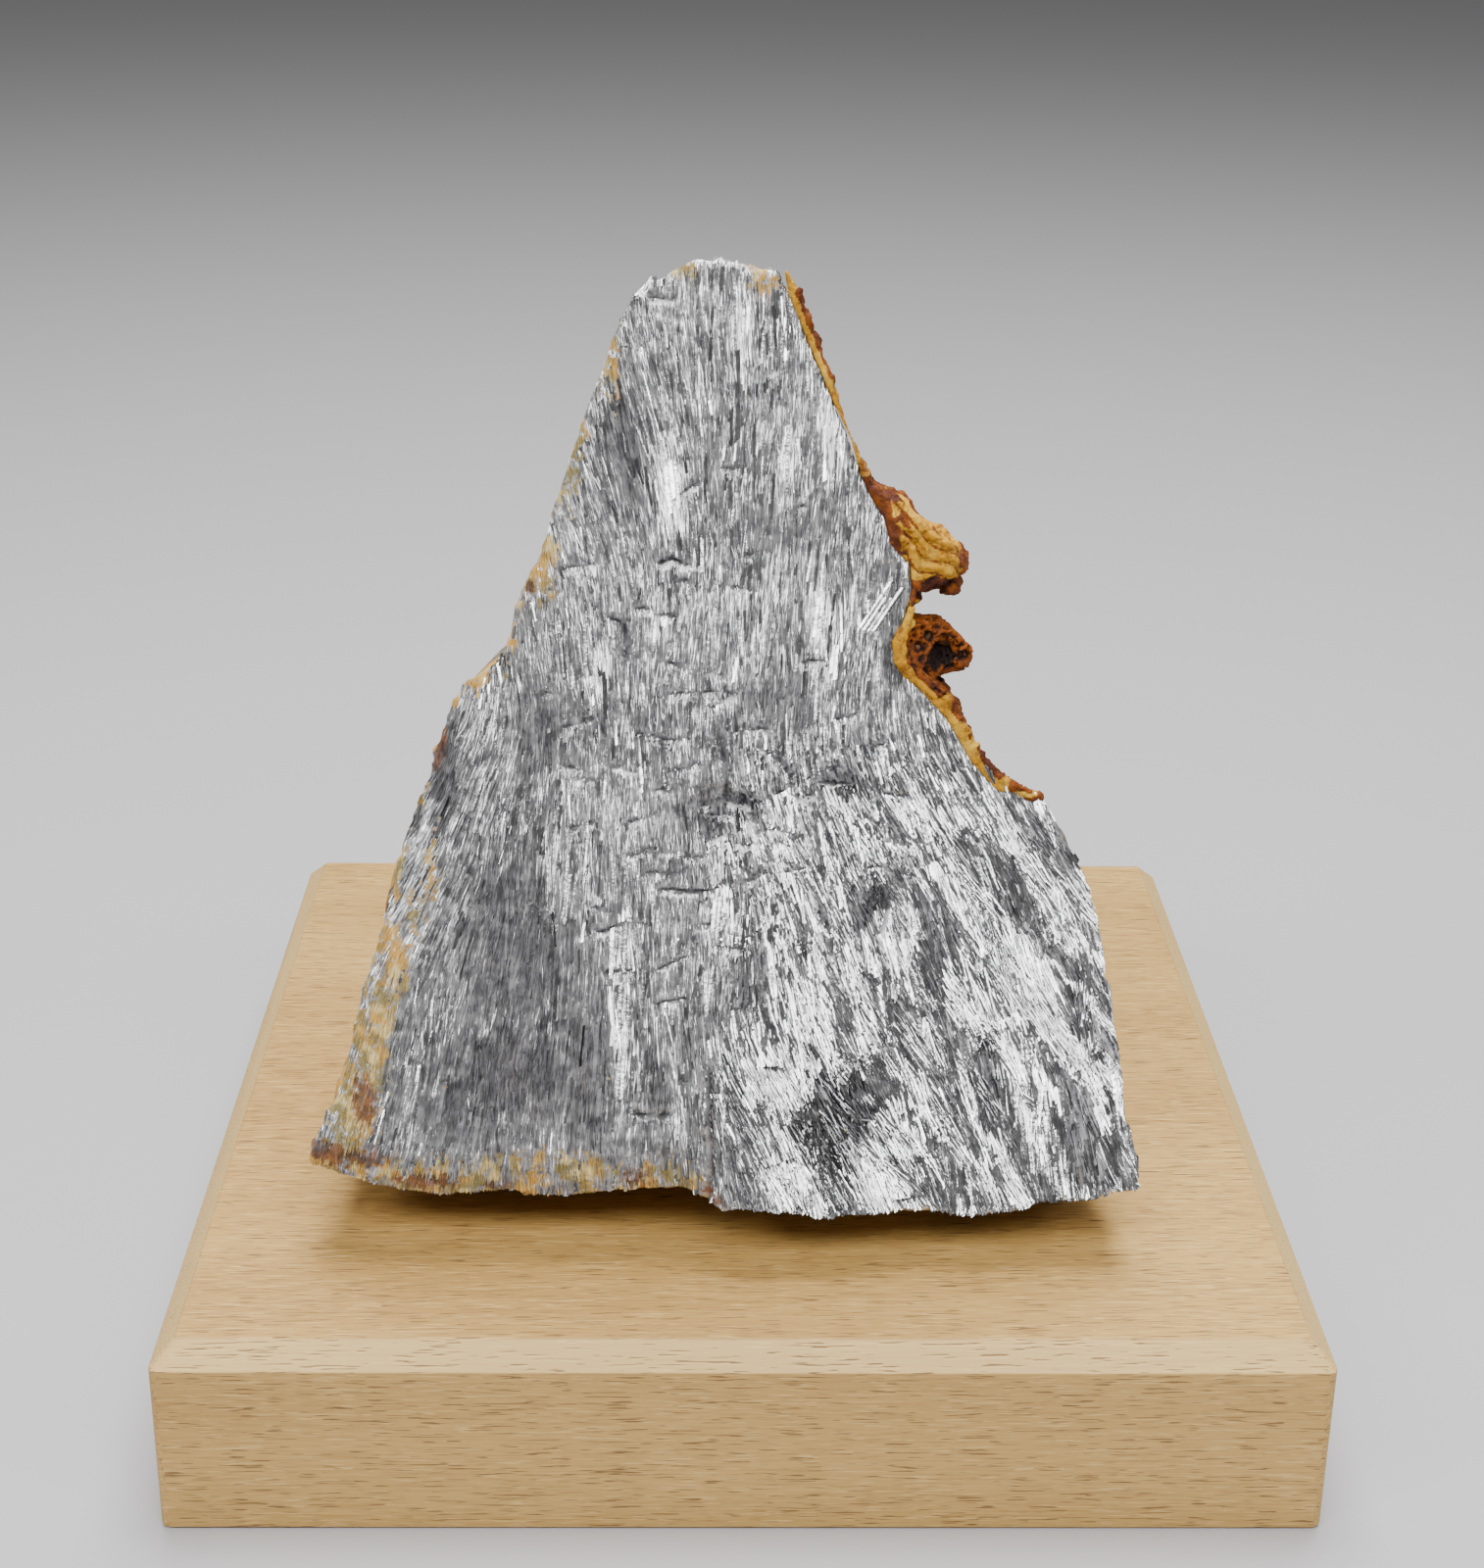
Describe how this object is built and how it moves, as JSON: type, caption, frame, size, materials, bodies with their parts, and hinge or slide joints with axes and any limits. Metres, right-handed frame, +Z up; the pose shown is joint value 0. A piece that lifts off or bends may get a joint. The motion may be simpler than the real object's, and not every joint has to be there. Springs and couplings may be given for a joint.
{
  "type": "jamesonite with bindheimite on a wooden block",
  "caption": "A leaning, peak-shaped mass of fibrous silver-grey jamesonite with a yellow bindheimite rind and brown limonite knob, resting on a square block of pale wood.",
  "frame": {"origin": "middle of the wooden block's underside, the lowest point of the object", "axes": "+Z up and the longest extent, the fibrous face looks along -Y, +X to the viewer's right"},
  "size_m": [0.1, 0.1, 0.1048],
  "materials": {
    "wood": "pale sanded wood with fine short dark pores along the grain, no gloss",
    "jamesonite": "metallic silver-grey ore of fine felted fibres and coarse bright blades",
    "bindheimite": "earthy ochre-yellow crust with brown swirls, no gloss",
    "limonite": "rough red-brown spongy crust, no gloss"
  },
  "bodies": {
    "root": {"wood_block": "wood", "mineral_specimen": "jamesonite"}
  },
  "joints": []
}
